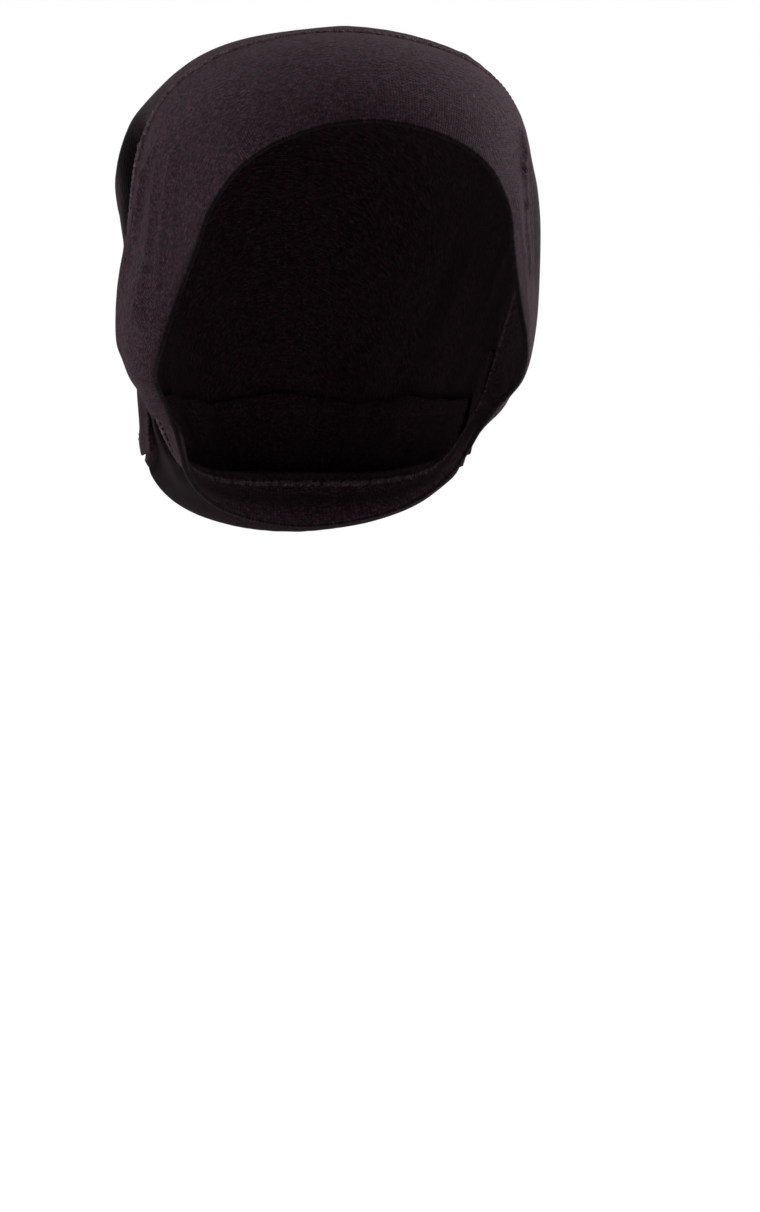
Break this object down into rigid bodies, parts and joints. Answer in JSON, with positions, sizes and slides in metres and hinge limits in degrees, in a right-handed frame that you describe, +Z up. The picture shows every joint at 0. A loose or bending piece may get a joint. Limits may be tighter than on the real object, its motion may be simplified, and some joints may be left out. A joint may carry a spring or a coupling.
{
  "type": "hijab underscarf cap",
  "caption": "Stretch jersey underscarf cap with a wide front band round the face, a rolled crown seam, a loose crown panel ending in an open hem, and a tucked nape pouch.",
  "frame": {"origin": "the point inside the crown where the top of the wearer's head bears", "axes": "+Z up, -Y the way the wearer faces, +X to the wearer's left"},
  "size_m": [0.1553, 0.1886, 0.1821],
  "materials": {
    "band_jersey": "fine cotton jersey, matt with a little fuzz",
    "seam_jersey": "rolled and overlocked jersey",
    "body_jersey": "fine cotton jersey, one layer",
    "hem_jersey": "turned and stitched jersey",
    "nape_jersey": "fine cotton jersey, one layer"
  },
  "bodies": {
    "root": {"front_band": "band_jersey", "crown_seam": "seam_jersey", "crown_panel": "body_jersey", "open_hem": "hem_jersey", "nape_panel": "nape_jersey"}
  },
  "joints": []
}
